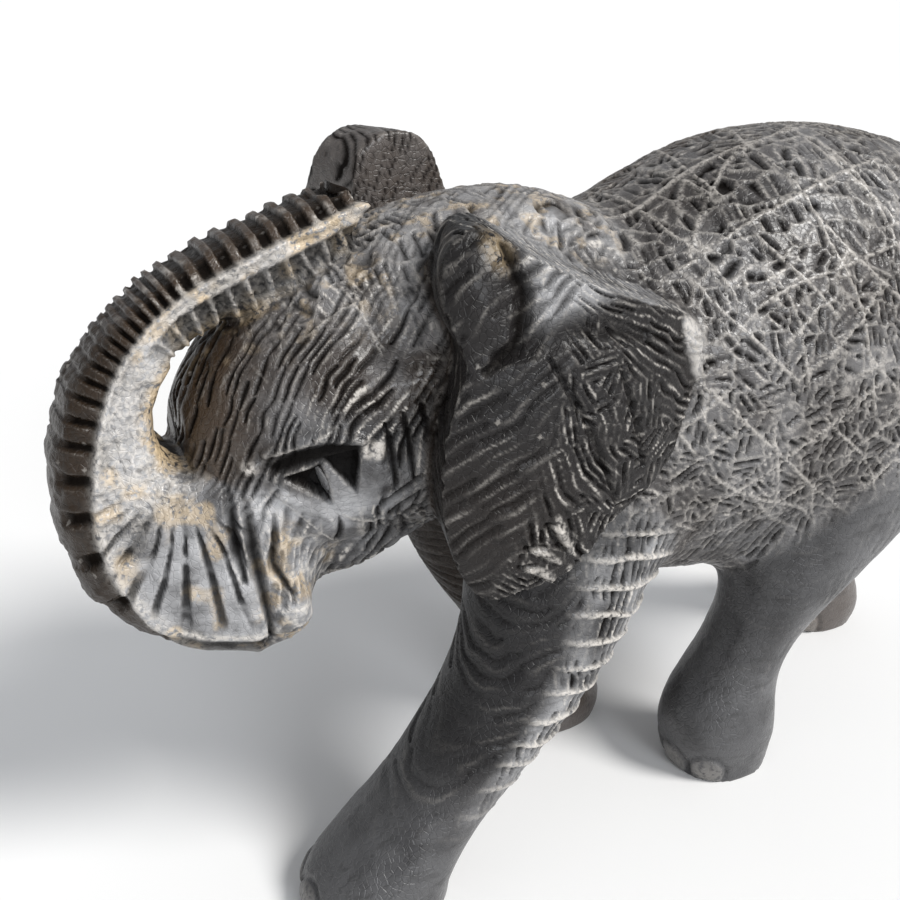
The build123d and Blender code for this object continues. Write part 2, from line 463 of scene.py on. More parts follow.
# ---- carving, family by family ------------------------------------------------------------------
def carve_torso(points, normals):
    """Small patches of hatching between long crossing lines over the back and flank, with painted shade in
    the cuts, pale wear and painted highlights on the crests and lines, and patchy painted light on all but
    the far side.
    """
    x, y, z = points.T
    patches = drifted(points, 11, 1.2, 3)
    cut, crest, seam = hatched(patches, (7.5, 7.5, 6.0), pitch=2.1, length=4.8, seed=11)
    along, over, up = drifted(points, 16, 3.0, 7).T
    far_across = up - 0.5 * over + 0.15 * along
    far_cut, far_crest = strokes(far_across, along, pitch=2.5, length=15.0, seed=17)
    far = smooth_step(-y, 2, 12) * smooth_step(x, -10, 12)
    low_cut, low_crest = strokes(along + 0.25 * up, up + 0.6 * y, pitch=2.4, length=8.0, seed=19)
    low = 1 - smooth_step(z, 88, 108)
    cut, crest, seam = cut * (1 - far), crest * (1 - far), seam * (1 - far) * (1 - 0.7 * low)
    cut = cut * (1 - low) + low_cut * low + far_cut * far
    crest = crest * (1 - low) + low_crest * low + 0.5 * far_crest * far
    lines = crossing_lines(points, normals, pitch=15.0, width=0.62, seed=31, share=0.62)
    lines = lines * (1 - 0.8 * far) * (1 - 0.6 * low)
    lines = np.maximum(lines, 0.55 * seam)
    calm = 0.35 + 0.65 * smooth_step(z, 62, 78)
    raised = calm * (-1.25 * cut * (1 - lines) + 0.45 * lines)
    patch = smooth_step(noise(points, 18, 33), -0.45, 0.45)
    # painted shade in the cuts, pale wear and painted highlights on the crests and lines, and patchy painted
    # light, none on the far side
    pit = (1 - lines) * calm * np.clip(1.3 * cut, 0, 1)
    pale = np.maximum(crest * (0.7 + 0.6 * patch), 0.7 * lines)
    light = (0.06 + 0.18 * patch + 0.10 * low) * calm * (1 - far)
    return layers(len(points), raised=raised, pit=pit, pale=pale * calm, light=light, warm=0.3)


def carve_head(points, normals):
    """Long wavy gouges down the face, a hollowed eye under its brow, folds on the cheek, with painted shade
    in the cuts and folds, painted glints on the lid and knob, and painted light on the cheek, flank and
    crown.
    """
    ahead, _, above = (points - EYE).T
    x, y, z = left_half(ragged(points, 41)).T
    front = smooth_step(normals[:, 0], 0.35, 0.75)
    crown = smooth_step(normals[:, 2], 0.45, 0.8)
    flank = smooth_step(np.abs(points[:, 1]), 11, 17)
    cut, crest = strokes(0.8 * (y - x) - 0.42 * z, 0.42 * x - z, pitch=2.6, length=9.5, seed=43)
    patches = drifted(points, 12, 1.5, 45)
    patch_cut, patch_crest, seam = hatched(patches, (10, 10, 9), pitch=2.0, length=6.0, seed=47)
    behind_eye = smooth_step(EYE[0] - 18 - points[:, 0], 0, 12) * (1 - front)
    spread = np.maximum(crown, behind_eye) * 0.8
    cut = np.maximum(cut * (1 - 0.6 * spread), patch_cut * spread)
    crest = np.maximum(crest * (1 - spread), patch_crest * spread)
    lines = 0.8 * crossing_lines(points, normals, pitch=19.0, width=0.4, seed=51, share=0.3)
    lines = np.maximum(lines, 0.4 * seam * spread) * (1 - front)
    raised = -1.35 * cut * (1 - 0.35 * front) * (1 - lines)
    raised = raised + 0.4 * crown * noise(points, 2.6, 49) + 0.35 * lines
    # painted shade in the gouges
    pit = np.clip(1.35 * cut, 0, 1) * (1 - lines)
    uneven = 0.35 + 0.65 * smooth_step(noise(points, 11, 53), -0.4, 0.4)
    # pale wear and painted highlights on the crests and lines, few on the front face turned from the light
    pale = np.maximum(2.4 * crest * (1 - 0.85 * front) * uneven, 0.8 * lines)

    near_eye = np.clip(by_eye(points, *EYE_HOLLOW) * 3.0, 0, 0.92)
    raised, pit, pale = raised * (1 - near_eye), pit * (1 - near_eye), pale * (1 - near_eye)
    front_cut = triangle(points, FRONT_EYE_CUT) * flank
    rear_cut = triangle(points, REAR_EYE_CUT) * flank
    brow = scored(points, BROW, 2.7, 0.4) * flank
    ledge = scored(points, LEDGE, 3.0, 0.3) * flank
    raised += 2.2 * brow - 1.3 * ledge - 4.6 * front_cut - 4.4 * rear_cut
    raised += 1.3 * scored(points, LOWER_LID, 2.2) * flank
    raised += 1.4 * by_eye(points, *FACET)
    raised -= 3.2 * by_eye(points, *TEMPLE)
    raised += 2.4 * by_eye(points, *CHEEK)
    raised += 1.8 * by_eye(points, *ROOT_KNOB, (3.4, 6, 3.4))
    cheek_folds = [
        (route_from(-14.5 - 1.4 * k, -10.5 - 5.0 * k, (-3.5, 3.6), (-8.5, 8.4)), 1.4) for k in range(3)
    ]
    temple_folds = [
        (route_from(-13.5 - 4.2 * k, 13.0 + 2 * k, (-1.8, -9), (-3.6, -18)), 1.2) for k in range(4)
    ]
    folds = all_scored(points, cheek_folds + temple_folds) * flank
    raised -= 1.3 * folds
    # painted shade in the eye cuts, under the ledge and in the folds
    socket_and_fold_shade = np.clip(np.maximum(front_cut, rear_cut) * 3 + 1.2 * ledge + folds, 0, 1)
    pit = np.maximum(pit, socket_and_fold_shade)
    # painted glints on the lid facet and the root knob
    pale = np.maximum(pale, np.clip(2.5 * by_eye(points, *FACET_GLINT), 0, 1))
    pale = np.maximum(pale, by_eye(points, *ROOT_KNOB, (2.6, 5, 2.6))) * (1 - socket_and_fold_shade)
    # painted light on the cheek, patches of the flank, the crown and below the root knob, none on the front
    # face
    light = 0.50 * by_eye(points, *LIT_CHEEK) + 0.34 * flank * smooth_step(noise(points, 10, 52), -0.3, 0.5)
    light = (light + 0.5 * crown) * (1 - front)
    under_knob = 1 - smooth_step(above + 0.6 * np.abs(ahead - 14), -2, 5)
    light = np.maximum(light, 0.9 * under_knob * smooth_step(ahead, -4, 6))
    tan = 0.4 * crown * smooth_step(noise(points, 3.0, 50), 0.1, 0.6) * (1 - socket_and_fold_shade)
    warm = np.maximum(0.9 * front, 0.55 * smooth_step(above, 8, 22))
    return layers(len(points), raised=raised, pit=pit, pale=pale, light=light, tan=tan, warm=warm)


def trunk_middle_line():
    """The trunk's stations drawn out into many: place, tangent, length along, and their other values."""
    low, high = corner("trunk", 0), corner("trunk", 1)
    table = np.array(TRUNK_LINE)
    count = 240
    knots = np.linspace(0, 1, len(table))
    shares = np.linspace(0, 1, count)
    dense = np.stack([np.interp(shares, knots, table[:, k]) for k in range(table.shape[1])], 1)
    window = np.ones(25) / 25
    padded = np.concatenate([2 * dense[:1] - dense[12:0:-1], dense, 2 * dense[-1:] - dense[-2:-14:-1]])
    dense = np.stack([np.convolve(padded[:, k], window, "valid") for k in range(dense.shape[1])], 1)
    place = np.stack([low[0] + dense[:, 0] * (high - low)[0], low[2] + dense[:, 1] * (high - low)[2]], 1)
    tangent = np.gradient(place, axis=0)
    tangent /= np.linalg.norm(tangent, axis=1, keepdims=True)
    along = np.concatenate([[0], np.cumsum(np.linalg.norm(np.diff(place, axis=0), axis=1))])
    return place, tangent, along, dense[:, 2], dense[:, 3], dense[:, 4]


def trunk_coordinates(points):
    """Each point's length and share along the trunk, its place across it, and the border there.

    Across it is depth, from -1 on the inner face to 1 on the outer, and side, from 0 in the middle to 1.
    """
    place, tangent, along, depth, width, border = trunk_middle_line()
    nearest = np.zeros(len(points), int)
    for start in range(0, len(points), 40000):
        part = points[start : start + 40000, None, [0, 2]] - place[None]
        nearest[start : start + 40000] = (part**2).sum(2).argmin(1)
    gap = points[:, [0, 2]] - place[nearest]
    out = (gap * np.stack([tangent[nearest, 1], -tangent[nearest, 0]], 1)).sum(1)
    length = along[nearest] + (gap * tangent[nearest]).sum(1)
    side = np.abs(points[:, 1]) / width[nearest]
    return length, length / along[-1], out / depth[nearest], side, border[nearest]


def carve_trunk(points, normals):
    """The curl: a rung-cut outer face between worn borders, rough sides, and a fan of gouges at the root,
    with painted shade on the outer face and in the cuts, pale wear and painted highlights on the borders and
    rungs, and painted light on the sides.
    """
    count = len(points)
    length, share, out, side, border = trunk_coordinates(points)
    flank = smooth_step(np.abs(normals[:, 1]), 0.35, 0.75)
    channel = smooth_step(out - border, 0.0, 0.10)
    rim = np.exp(-(((out - border) / 0.10) ** 2)) * smooth_step(side, 0.55, 0.85)
    upper = smooth_step(share, 0.60, 0.70)
    phase = length / (7.6 - 2.6 * smooth_step(share, 0.45, 0.75)) + 0.05 * noise(points, 8, 61)
    groove = smooth_step(np.cos(2 * np.pi * phase), 0.25 - 0.75 * upper, 0.85 - 0.65 * upper)
    # a random strength for the borders' height, their wear and painted highlights, and the chips' tan
    wear_and_highlight = 0.5 + 0.5 * noise(points, 5, 62)
    notch = np.maximum(smooth_step(side, 0.45, 0.80), 0.7 * upper)
    raised = channel * (-0.9 - groove * (0.35 + 1.1 * notch) + 0.35 * noise(points, 2.4, 63))
    raised = raised + 1.2 * rim * (0.5 + wear_and_highlight)
    # painted shade over the lower outer face and in the rung grooves
    pit = channel * np.maximum(0.55 * (1 - upper), groove * (0.25 + 0.75 * notch))
    # painted glints on the rungs, most on the upper run; the borders pale with wear and painted highlights
    rung_glint = 0.35 * channel * (1 - groove) * smooth_step(wear_and_highlight, 0.6, 0.9) * (0.25 + 1.6 * upper)
    pale = rim * (0.55 + 0.45 * wear_and_highlight) + rung_glint

    rough = (1 - channel) * flank
    crust_ridge, crust_pit = net(drifted(points, 4, 1.4, 64), (1.5, 1.5, 2.1), 65)
    column = smooth_step(share, 0.28, 0.40)
    raised += rough * column * (0.5 * noise(points, 2.8, 66) - 0.7 * crust_pit)
    # painted shade in the crust's pits; below, pale wear and painted highlights on its ridges
    crust = rough * column * 0.5 * crust_pit * smooth_step(noise(points, 6, 79), -0.5, 0.5)
    pit = np.maximum(pit, crust)
    inner = smooth_step(-out, 0.45, 0.80) * smooth_step(share, 0.38, 0.46)
    chips = inner * smooth_step(noise(points, 4.2, 67), -0.25, 0.15)
    raised += 1.1 * chips
    stain = 0.6 * rough * column * smooth_step(noise(points, 4.5, 74), 0.0, 0.6)
    tan = np.maximum(chips * (0.5 + 0.5 * wear_and_highlight), stain)
    pale = np.maximum(pale, rough * column * (0.35 + 0.45 * crust_ridge))

    # upper run: a crusty ridge beside the ladder, then a second ladder low on the side
    ladder_band = upper * (1 - channel) * smooth_step(border - out, 0.30, 0.42)
    slats = smooth_step(np.cos(2 * np.pi * length / 4.9 + 0.8 * noise(points, 5, 60)), 0.45, 0.95)
    raised += ladder_band * (-1.5 + 1.2 * slats * (1 - smooth_step(-out, 0.72, 0.86)))
    # painted shade between the ladder's slats
    pit = np.maximum(pit, ladder_band * (0.85 - 0.65 * slats))
    crusty = upper * (1 - channel) * (1 - smooth_step(border - out, 0.24, 0.36))
    raised += crusty * (0.9 + 0.6 * noise(points, 2.2, 68))
    tan = np.maximum(tan, 0.75 * crusty * smooth_step(noise(points, 3.1, 69), -0.2, 0.4))
    pale = np.maximum(pale, 0.8 * crusty)

    # root: gouges that fan down from the foot of the slot, above a smooth sunken band on the lower border,
    # darkened with painted shade
    place = (points - EYE)[:, [0, 2]] - SLOT_FOOT
    ahead, above = place.T
    angle, reach = np.arctan2(above, ahead), np.hypot(ahead, above)
    root = rough * (1 - smooth_step(share, 0.34, 0.44))
    band = root * smooth_step(out, 0.66, 0.72) * smooth_step(ahead, -22, -14)
    teeth = smooth_step(np.cos(angle * 34 + 1.7 * noise(points, 7, 70)), 0.35, 0.9)
    teeth = teeth * smooth_step(noise(points, 3.4, 75), -0.8, 0.0)
    fan = root * teeth * smooth_step(reach, 11, 17)
    fan = fan * (1 - smooth_step(out, 0.46, 0.62)) * smooth_step(ahead, -15, -9)
    facets = noise(points, 4.5, 76)
    raised += -1.4 * fan - 0.5 * band + 0.55 * root * facets + 0.25 * root * noise(points, 1.8, 71)
    tan = np.maximum(tan, 0.5 * root * smooth_step(noise(points, 5.0, 77), 0.25, 0.7))
    # painted shade in the fan and on the sunken band, and a pale line along the band's edge, part wear and
    # part painted highlight
    pit = np.maximum(pit, np.maximum(0.9 * fan, 0.62 * band))
    edge = root * np.exp(-(((out - 0.64) / 0.035) ** 2)) * smooth_step(ahead, -22, -14)
    pale = np.maximum(pale, edge)
    # the root grooves and the shreds below are darkened with painted shade, and the shreds' ridges paled
    grooves = all_scored(points, ROOT_GROOVES) * flank
    raised -= 2.0 * grooves
    pit = np.maximum(pit, grooves)
    raised += 2.4 * by_eye(points, *ROOT_NUB)
    shreds_ridge, shreds_pit = net(turned(points, 1, 0.2), (2.2, 2.6, 8.0), 72)
    fringe = root * (1 - smooth_step(ahead, -18, -10))
    raised -= 0.9 * fringe * shreds_pit
    pit = np.maximum(pit, 0.8 * fringe * shreds_pit)
    pale = np.maximum(pale, fringe * shreds_ridge * 0.8)
    tan = np.maximum(tan, 0.55 * fringe * smooth_step(noise(points, 4, 73), 0.1, 0.5))

    # tip: a hollow between the two borders, darkened with painted shade
    tip = corner("trunk", 0)[0]
    hollow = np.clip(1 - ((points[:, 0] - tip - 3) / 8) ** 2 - (points[:, 1] / 7) ** 2, 0, 1)
    hollow = hollow * smooth_step(share, 0.9, 0.95)
    raised -= 2.5 * hollow * channel
    pit = np.maximum(pit, hollow)
    # painted light on the rough sides, less on the ladder and none on the sunken band
    light = rough * (1 - ladder_band * 0.75) * (1 - band) * (0.72 + 0.28 * noise(points, 4.0, 78))
    return layers(count, raised=raised, pit=pit, pale=pale, tan=tan, light=light, warm=channel)


def ear_strokes(points, normals, outer):
    """The ear's cuts and crests: a fan from the knob, mottled with patches, and others at its edges."""
    top = smooth_step(normals[:, 2], 0.1, 0.5) * (1 - outer)
    place = (points - EYE)[:, [0, 2]]
    ahead, above = place.T
    fan = place - EAR_FAN_CENTRE
    angle, reach = np.arctan2(fan[:, 1], fan[:, 0]), np.hypot(fan[:, 0], fan[:, 1])
    wave = 2.6 * noise(points, 12, 81) + 0.8 * noise(points, 4.5, 83)
    cut, crest = strokes(angle * 60 + wave, reach, pitch=2.1, length=8.0, seed=82)
    patches = drifted(points, 10, 1.5, 87)
    patch_cut, patch_crest, _ = hatched(patches, (8, 30, 8), pitch=1.9, length=6.0, seed=88)
    mottled = smooth_step(noise(points, 13, 89), -0.25, 0.25)
    cut, crest = cut + (patch_cut - cut) * mottled, crest + (patch_crest - crest) * mottled
    across = 0.57 * ahead + 0.82 * above + wave
    front_cut, front_crest = strokes(across, above - ahead, pitch=3.6, length=17.0, seed=84)
    across = ahead + 0.4 * above + wave
    edge_cut, edge_crest = strokes(across, points[:, 1] + above, pitch=2.0, length=6.0, seed=86)
    front = smooth_step(ahead + 0.25 * above, -46, -38)
    cut = cut * (1 - front) + 0.65 * front_cut * front
    crest = crest * (1 - front) + 0.3 * front_crest * front
    cut = cut * outer + edge_cut * (1 - outer)
    # the edge crests are painted paler on upward faces, where light falls
    crest = crest * outer + edge_crest * (0.2 + 0.8 * top) * (1 - outer)
    return cut, crest, front, top


def carve_ear(points, normals):
    """Feathered strokes that fan down from the knob, with crescent folds over the lobe, painted shade in the
    cuts, shadows and hollows, painted highlights on the crests, folds and rear rim, and painted light on the
    top band and upward faces.
    """
    ahead, above = (points - EYE)[:, [0, 2]].T
    right = points[:, 1] < 0
    outer = smooth_step(normals[:, 1] * np.sign(points[:, 1]), 0.2, 0.55)
    cut, crest, front, top = ear_strokes(points, normals, outer)
    strength = np.where(right, 0.22, 1.0)
    raised = -1.25 * strength * cut
    folds = all_scored(points, EAR_CRESCENTS)
    beside = [([(x + 1.6, z + 0.9) for x, z in route], width * 1.1) for route, width in EAR_CRESCENTS]
    shadows = all_scored(points, beside)
    for route in EAR_SHADOWS:
        shadows = np.maximum(shadows, 0.8 * scored(points, route, 1.2))
    hollow = scored(points, EAR_HOLLOW, 4.5)
    raised += outer * (0.7 * folds - 1.5 * shadows * (1 - folds) - 1.6 * hollow)
    raised += 2.4 * by_eye(points, *EAR_KNOB)
    behind_knob = scored(points, BEHIND_KNOB, 2.4)
    raised -= 1.8 * behind_knob * outer
    # a painted patch of light and highlight on the left ear's rear top corner
    lit_rim = scored(points, LIT_RIM, 6.5) * ~right
    # painted light on the band along the top, on upward faces behind the front and on the rim; painted shade
    # on the rest
    band = smooth_step(above + 0.34 * ahead, 17, 24) * (1 - smooth_step(ahead, -46, -38)) * ~right
    lit = np.maximum(np.maximum(band, top * (1 - front)), lit_rim)
    shade = 0.60 * (1 - lit) * np.where(right, 0.35, 1.0)
    # painted shade in the cuts, the shadows, behind the knob and in the hollow, none on the folds or the lit
    # rim
    pit = np.maximum(np.clip(1.4 * cut, 0, 1), np.maximum(shadows * (1 - folds), behind_knob) * outer)
    pit = np.maximum(np.maximum(pit, shade * (1 - crest)), 0.8 * hollow * outer)
    pit = pit * (1 - folds) * (1 - 0.7 * lit_rim)
    # painted highlights on the crests, folds and lit rim
    pale = np.maximum(3.0 * crest * (0.7 + 0.3 * lit) * strength, np.maximum(0.75 * folds, 0.8 * lit_rim))
    pale = np.clip(pale, 0, 1)
    tan = 0.8 * by_eye(points, *EAR_KNOB_STAIN)
    # painted light on the lit band, tops and rim, and a little over the far ear
    light = np.where(right, 0.16, np.maximum(0.8 * lit_rim, 0.55 * lit))
    warm = np.where(right, 0.85, 0.15)
    return layers(len(points), raised=raised, pit=pit, pale=pale, tan=tan, light=light, warm=warm)


NAIL_TURNS = (-0.75, 0.0, 0.75)  # round the foot from straight ahead, in radians
NAIL_HALF_TURN, NAIL_HALF_HEIGHT, NAIL_MIDDLE = 0.33, 6.0, 3.5


def toenails(points):
    """Three worn nails round the front of each foot: how far they are raised, and how pale."""
    raised, pale = np.zeros(len(points)), np.zeros(len(points))
    for sole in SOLES:
        gap = points - sole
        near = (np.hypot(gap[:, 0], gap[:, 1]) < 30) & (gap[:, 2] < 16)
        turn = np.arctan2(gap[near, 1], gap[near, 0])
        for nail in NAIL_TURNS:
            q = ((turn - nail) / NAIL_HALF_TURN) ** 2
            q = q + ((gap[near, 2] - NAIL_MIDDLE) / NAIL_HALF_HEIGHT) ** 2
            dome, groove = np.clip(1 - q, 0, 1) ** 0.5, np.clip(1 - np.abs(q - 1.3) / 0.35, 0, 1)
            raised[near] += 1.0 * dome - 0.7 * groove
            pale[near] = np.maximum(pale[near], 0.5 * dome)
    return raised, pale


def carve_leg(points, normals):
    """Slanting cuts in front, rungs behind, and worn, nearly smooth ankles and feet, with painted shade in
    the cuts and over the front half, painted light over the rear half, and pale rungs and nails.
    """
    x, y, z = ragged(points, 91).T
    across = 0.5 * x + 0.86 * z + 0.4 * y
    slant_cut, slant_crest = strokes(across, z - x, pitch=3.4, length=16.0, seed=93)
    across = x + 0.6 * y + 0.2 * z
    upright_cut, upright_crest = strokes(across, z, pitch=2.8, length=6.5, seed=94)
    behind = smooth_step(-normals[:, 0], -0.25, 0.10)
    fore = smooth_step(points[:, 0], -25, -5)
    high = smooth_step(points[:, 2], 20, 52)
    amount = high * (0.18 + 0.82 * fore)
    rung = np.cos(2 * np.pi * (points[:, 2] - 0.25 * points[:, 0] + 1.6 * noise(points, 9, 95)) / 7.6)
    rung = smooth_step(rung, 0.66, 0.97) * behind * fore * high
    cut = 0.6 * slant_cut * (1 - behind) + upright_cut * behind
    crest = 0.25 * slant_crest * (1 - behind) + upright_crest * behind
    raised = -1.25 * cut * amount * (1 - rung) + 0.9 * rung + 0.22 * (1 - high) * noise(points, 7, 97)
    nail_raised, nail_pale = toenails(points)
    # pale wear and painted highlights on the crests and rungs, and pale nails
    pale = np.maximum(np.maximum(1.5 * crest * amount, rung), 0.6 * nail_pale)
    # painted shade in the cuts and over the front half, which is turned from the light
    pit = np.maximum(np.clip(1.4 * cut, 0, 1), 0.6 * (1 - behind)) * amount * (1 - rung)
    # painted light over the rear half, and a faint grey that is strongest on the ankles and feet
    light = 0.75 * behind * amount * (0.6 + 0.4 * noise(points, 6, 96)) + 0.12 * (1 - 0.6 * amount)
    return layers(len(points), raised=raised + nail_raised, pit=pit, pale=pale, light=light)


def carve_tail(points, normals):
    """Long strands, with painted shade in their cuts and pale wear and painted highlights on their crests.
    """
    cut, crest = strokes(points[:, 0] + points[:, 1], points[:, 2], pitch=2.0, length=14.0, seed=101)
    return layers(len(points), raised=-0.9 * cut, pit=cut, pale=0.5 * crest)


CARVERS = {
    "torso": carve_torso,
    "head": carve_head,
    "trunk": carve_trunk,
    "ear": carve_ear,
    "leg": carve_leg,
    "tail": carve_tail,
}


def carving(points, normals, families):
    """Every family's carving, each giving way to the next over a narrow strip."""
    gaps = {name: field.at(points) for name, field in families.items()}
    nearest = np.minimum.reduce(list(gaps.values()))
    total, weights = np.zeros((len(CHANNELS), len(points))), np.zeros(len(points))
    for name, carver in CARVERS.items():
        weight = np.clip(1 - (gaps[name] - nearest) / MELD, 0, 1)
        near = weight > 0
        if near.any():
            total[:, near] += weight[near] * carver(points[near], normals[near])
        weights += weight
    total /= weights
    row = dict(zip(CHANNELS, total))
    row["raised"] += 0.07 * noise(points, 1.5, 200) + 0.12 * noise(points, 6, 201)
    far = smooth_step(-points[:, 1], 0, 14)
    row["warm"] = np.clip(row["warm"] + 0.9 * far + 0.15 * noise(points, 30, 301), 0, 1)
    return row


# ---- pieces -------------------------------------------------------------------------------------
def field_to_mesh(values, first, step):
    """The points and quads of a field's zero surface."""
    grid = vdb.FloatGrid(float(BAND))
    grid.copyFromArray(np.ascontiguousarray(values, dtype=np.float32), ijk=tuple(int(i) for i in first))
    grid.transform = vdb.createLinearTransform(voxelSize=step)
    points, _, quads = grid.convertToPolygons(0.0, 0.0)
    return points.astype(float), quads


def new_piece(name, points, quads, paint, replaced):
    """A mesh object in metres that stands for a CAD node, with a float attribute for each paint channel."""
    mesh = bpy.data.meshes.new(name)
    mesh.from_pydata((points * MM).tolist(), [], quads.tolist())
    for key, value in paint.items():
        mesh.attributes.new(key, "FLOAT", "POINT").data.foreach_set("value", value.astype(np.float32))
    mesh.shade_smooth()
    piece = bpy.data.objects.new(name, mesh)
    bpy.context.scene.collection.objects.link(piece)
    piece.data.materials.append(MATERIALS[SLOT_OF[replaced]])
    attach(piece, "root")
    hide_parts(replaced)
    print(name, len(mesh.polygons), "faces")


def carved_piece(name, body, own, others, families):
    """One section of the blended body, closed under its neighbours' skin, and carved."""
    step = PIECE_STEP[name]
    low, high = corner(name, 0) - PIECE_MARGIN, corner(name, 1) + PIECE_MARGIN
    beyond = Field(own - others, body.first, body.step).finer(low, high, step).values
    shape = body.finer(low, high, step)
    sunk = shape.values + np.float32(SINK) * np.clip(beyond / np.float32(OVERLAP), 0, 1)
    points, quads = field_to_mesh(np.maximum(sunk, beyond - np.float32(OVERLAP)), shape.first, step)
    normals = body.direction(points)
    depth = np.abs(body.at(points))
    row = carving(points, normals, families)
    follow = 1 - smooth_step(depth, SINK + 0.3, FOLLOW_DEPTH)
    if name in LEGS:
        follow *= smooth_step(points[:, 2], 0.2, 1.6)
    moved = points + normals * (follow * row.pop("raised"))[:, None]
    moved[:, 2] = np.maximum(moved[:, 2], 0)
    new_piece(f"carved_{name}", moved, quads, row, name)


EYE_SHIFT = (-1.7, 0, -1.6)  # from the middle of the eye's node
EYE_HALF_WIDTH, EYE_HALF_DEPTH, EYE_HALF_HEIGHT = 1.7, 5.2, 6.2
EYE_LEAN = math.radians(30)


def eye_piece(name):
    """A narrow eyeball that leans in its socket, sharper at the top."""
    centre = middle(name) + EYE_SHIFT
    step, reach = 0.5, 11
    first = np.floor((centre - reach) / step).astype(int)
    axes = [(first[a] + np.arange(int(2 * reach / step) + 2)) * step - centre[a] for a in range(3)]
    x, y, z = np.meshgrid(*axes, indexing="ij")
    across = x * math.cos(EYE_LEAN) - z * math.sin(EYE_LEAN)
    up = x * math.sin(EYE_LEAN) + z * math.cos(EYE_LEAN)
    width = EYE_HALF_WIDTH * (1.0 - 0.08 * np.clip(up, -6, 7))
    squares = (across / width) ** 2 + (y / EYE_HALF_DEPTH) ** 2 + (up / EYE_HALF_HEIGHT) ** 2
    values = (np.sqrt(squares) - 1) * 1.9
    points, quads = field_to_mesh(values, first, step)
    points += (points - centre) * (0.02 * noise(points, 2.4, 401))[:, None]
    paint = {key: np.zeros(len(points)) for key in CHANNELS[1:]}
    # painted light: the whole eyeball painted a lighter grey
    paint["light"] = np.full(len(points), 0.55)
    new_piece(f"carved_{name}", points, quads, paint, name)


# ---- materials ----------------------------------------------------------------------------------
def connect(tree, socket, value):
    """Sets a socket, or links one to it."""
    if isinstance(value, bpy.types.NodeSocket):
        tree.links.new(value, socket)
    else:
        socket.default_value = value


def shader_node(tree, kind, **inputs):
    """A shader node with some of its inputs set or linked."""
    made = tree.nodes.new(kind)
    for key, value in inputs.items():
        connect(tree, made.inputs[key.replace("_", " ")], value)
    return made


MIX_SHARE, MIX_FIRST, MIX_SECOND = 0, 6, 7  # the colour inputs of a mix node


def mixed(tree, share, a, b):
    """Two colours mixed by a share from 0 to 1."""
    made = tree.nodes.new("ShaderNodeMix")
    made.data_type = "RGBA"
    for index, value in ((MIX_SHARE, share), (MIX_FIRST, a), (MIX_SECOND, b)):
        connect(tree, made.inputs[index], value)
    return made.outputs[2]


def combine(tree, operation, a, b):
    """Two numbers combined, kept between 0 and 1."""
    made = tree.nodes.new("ShaderNodeMath")
    made.operation, made.use_clamp = operation, True
    connect(tree, made.inputs[0], a)
    connect(tree, made.inputs[1], b)
    return made.outputs[0]


def times(tree, a, b):
    return combine(tree, "MULTIPLY", a, b)


def attribute(tree, name):
    made = tree.nodes.new("ShaderNodeAttribute")
    made.attribute_name = name
    return made.outputs["Fac"]


def speckle(tree, place, scale, detail):
    """Noise from 0 to 1, with about that many bumps to a unit of the place given."""
    return shader_node(tree, "ShaderNodeTexNoise", Vector=place, Scale=scale, Detail=detail).outputs["Fac"]


def ramp(tree, value, low, high):
    """A smooth rise from 0 to 1 as a value passes from low to high."""
    made = tree.nodes.new("ShaderNodeMapRange")
    made.interpolation_type = "SMOOTHSTEP"
    connect(tree, made.inputs["Value"], value)
    made.inputs["From Min"].default_value = low
    made.inputs["From Max"].default_value = high
    return made.outputs["Result"]


# The near black serves the grain and painted shade, the light grey painted light, and the pale colour wear
# and painted highlights.
NEAR_BLACK = (0.006, 0.0052, 0.0048, 1)
COOL = (0.019, 0.0185, 0.020, 1)
BROWN = (0.040, 0.0235, 0.012, 1)
LIGHT_GREY = (0.42, 0.42, 0.43, 1)
PALE_WEAR_AND_HIGHLIGHT = (0.62, 0.58, 0.53, 1)
TAN = (0.55, 0.42, 0.26, 1)


GLOSS, EYE_GLOSS, COAT = 0.34, 0.25, 0.18
GRAIN_SCALE = (90, 600, 500)  # per metre, so the grain runs along x
CLOUD_SCALE, FLECK_SCALE, NICK_SCALE = 70.0, 800.0, 620.0
WEAR_AND_HIGHLIGHT_SHARE, PAINTED_SHADE_SHARE = 0.80, 0.94  # how far the pale of wear and painted highlights, and the painted shade in cuts, cover what is under them


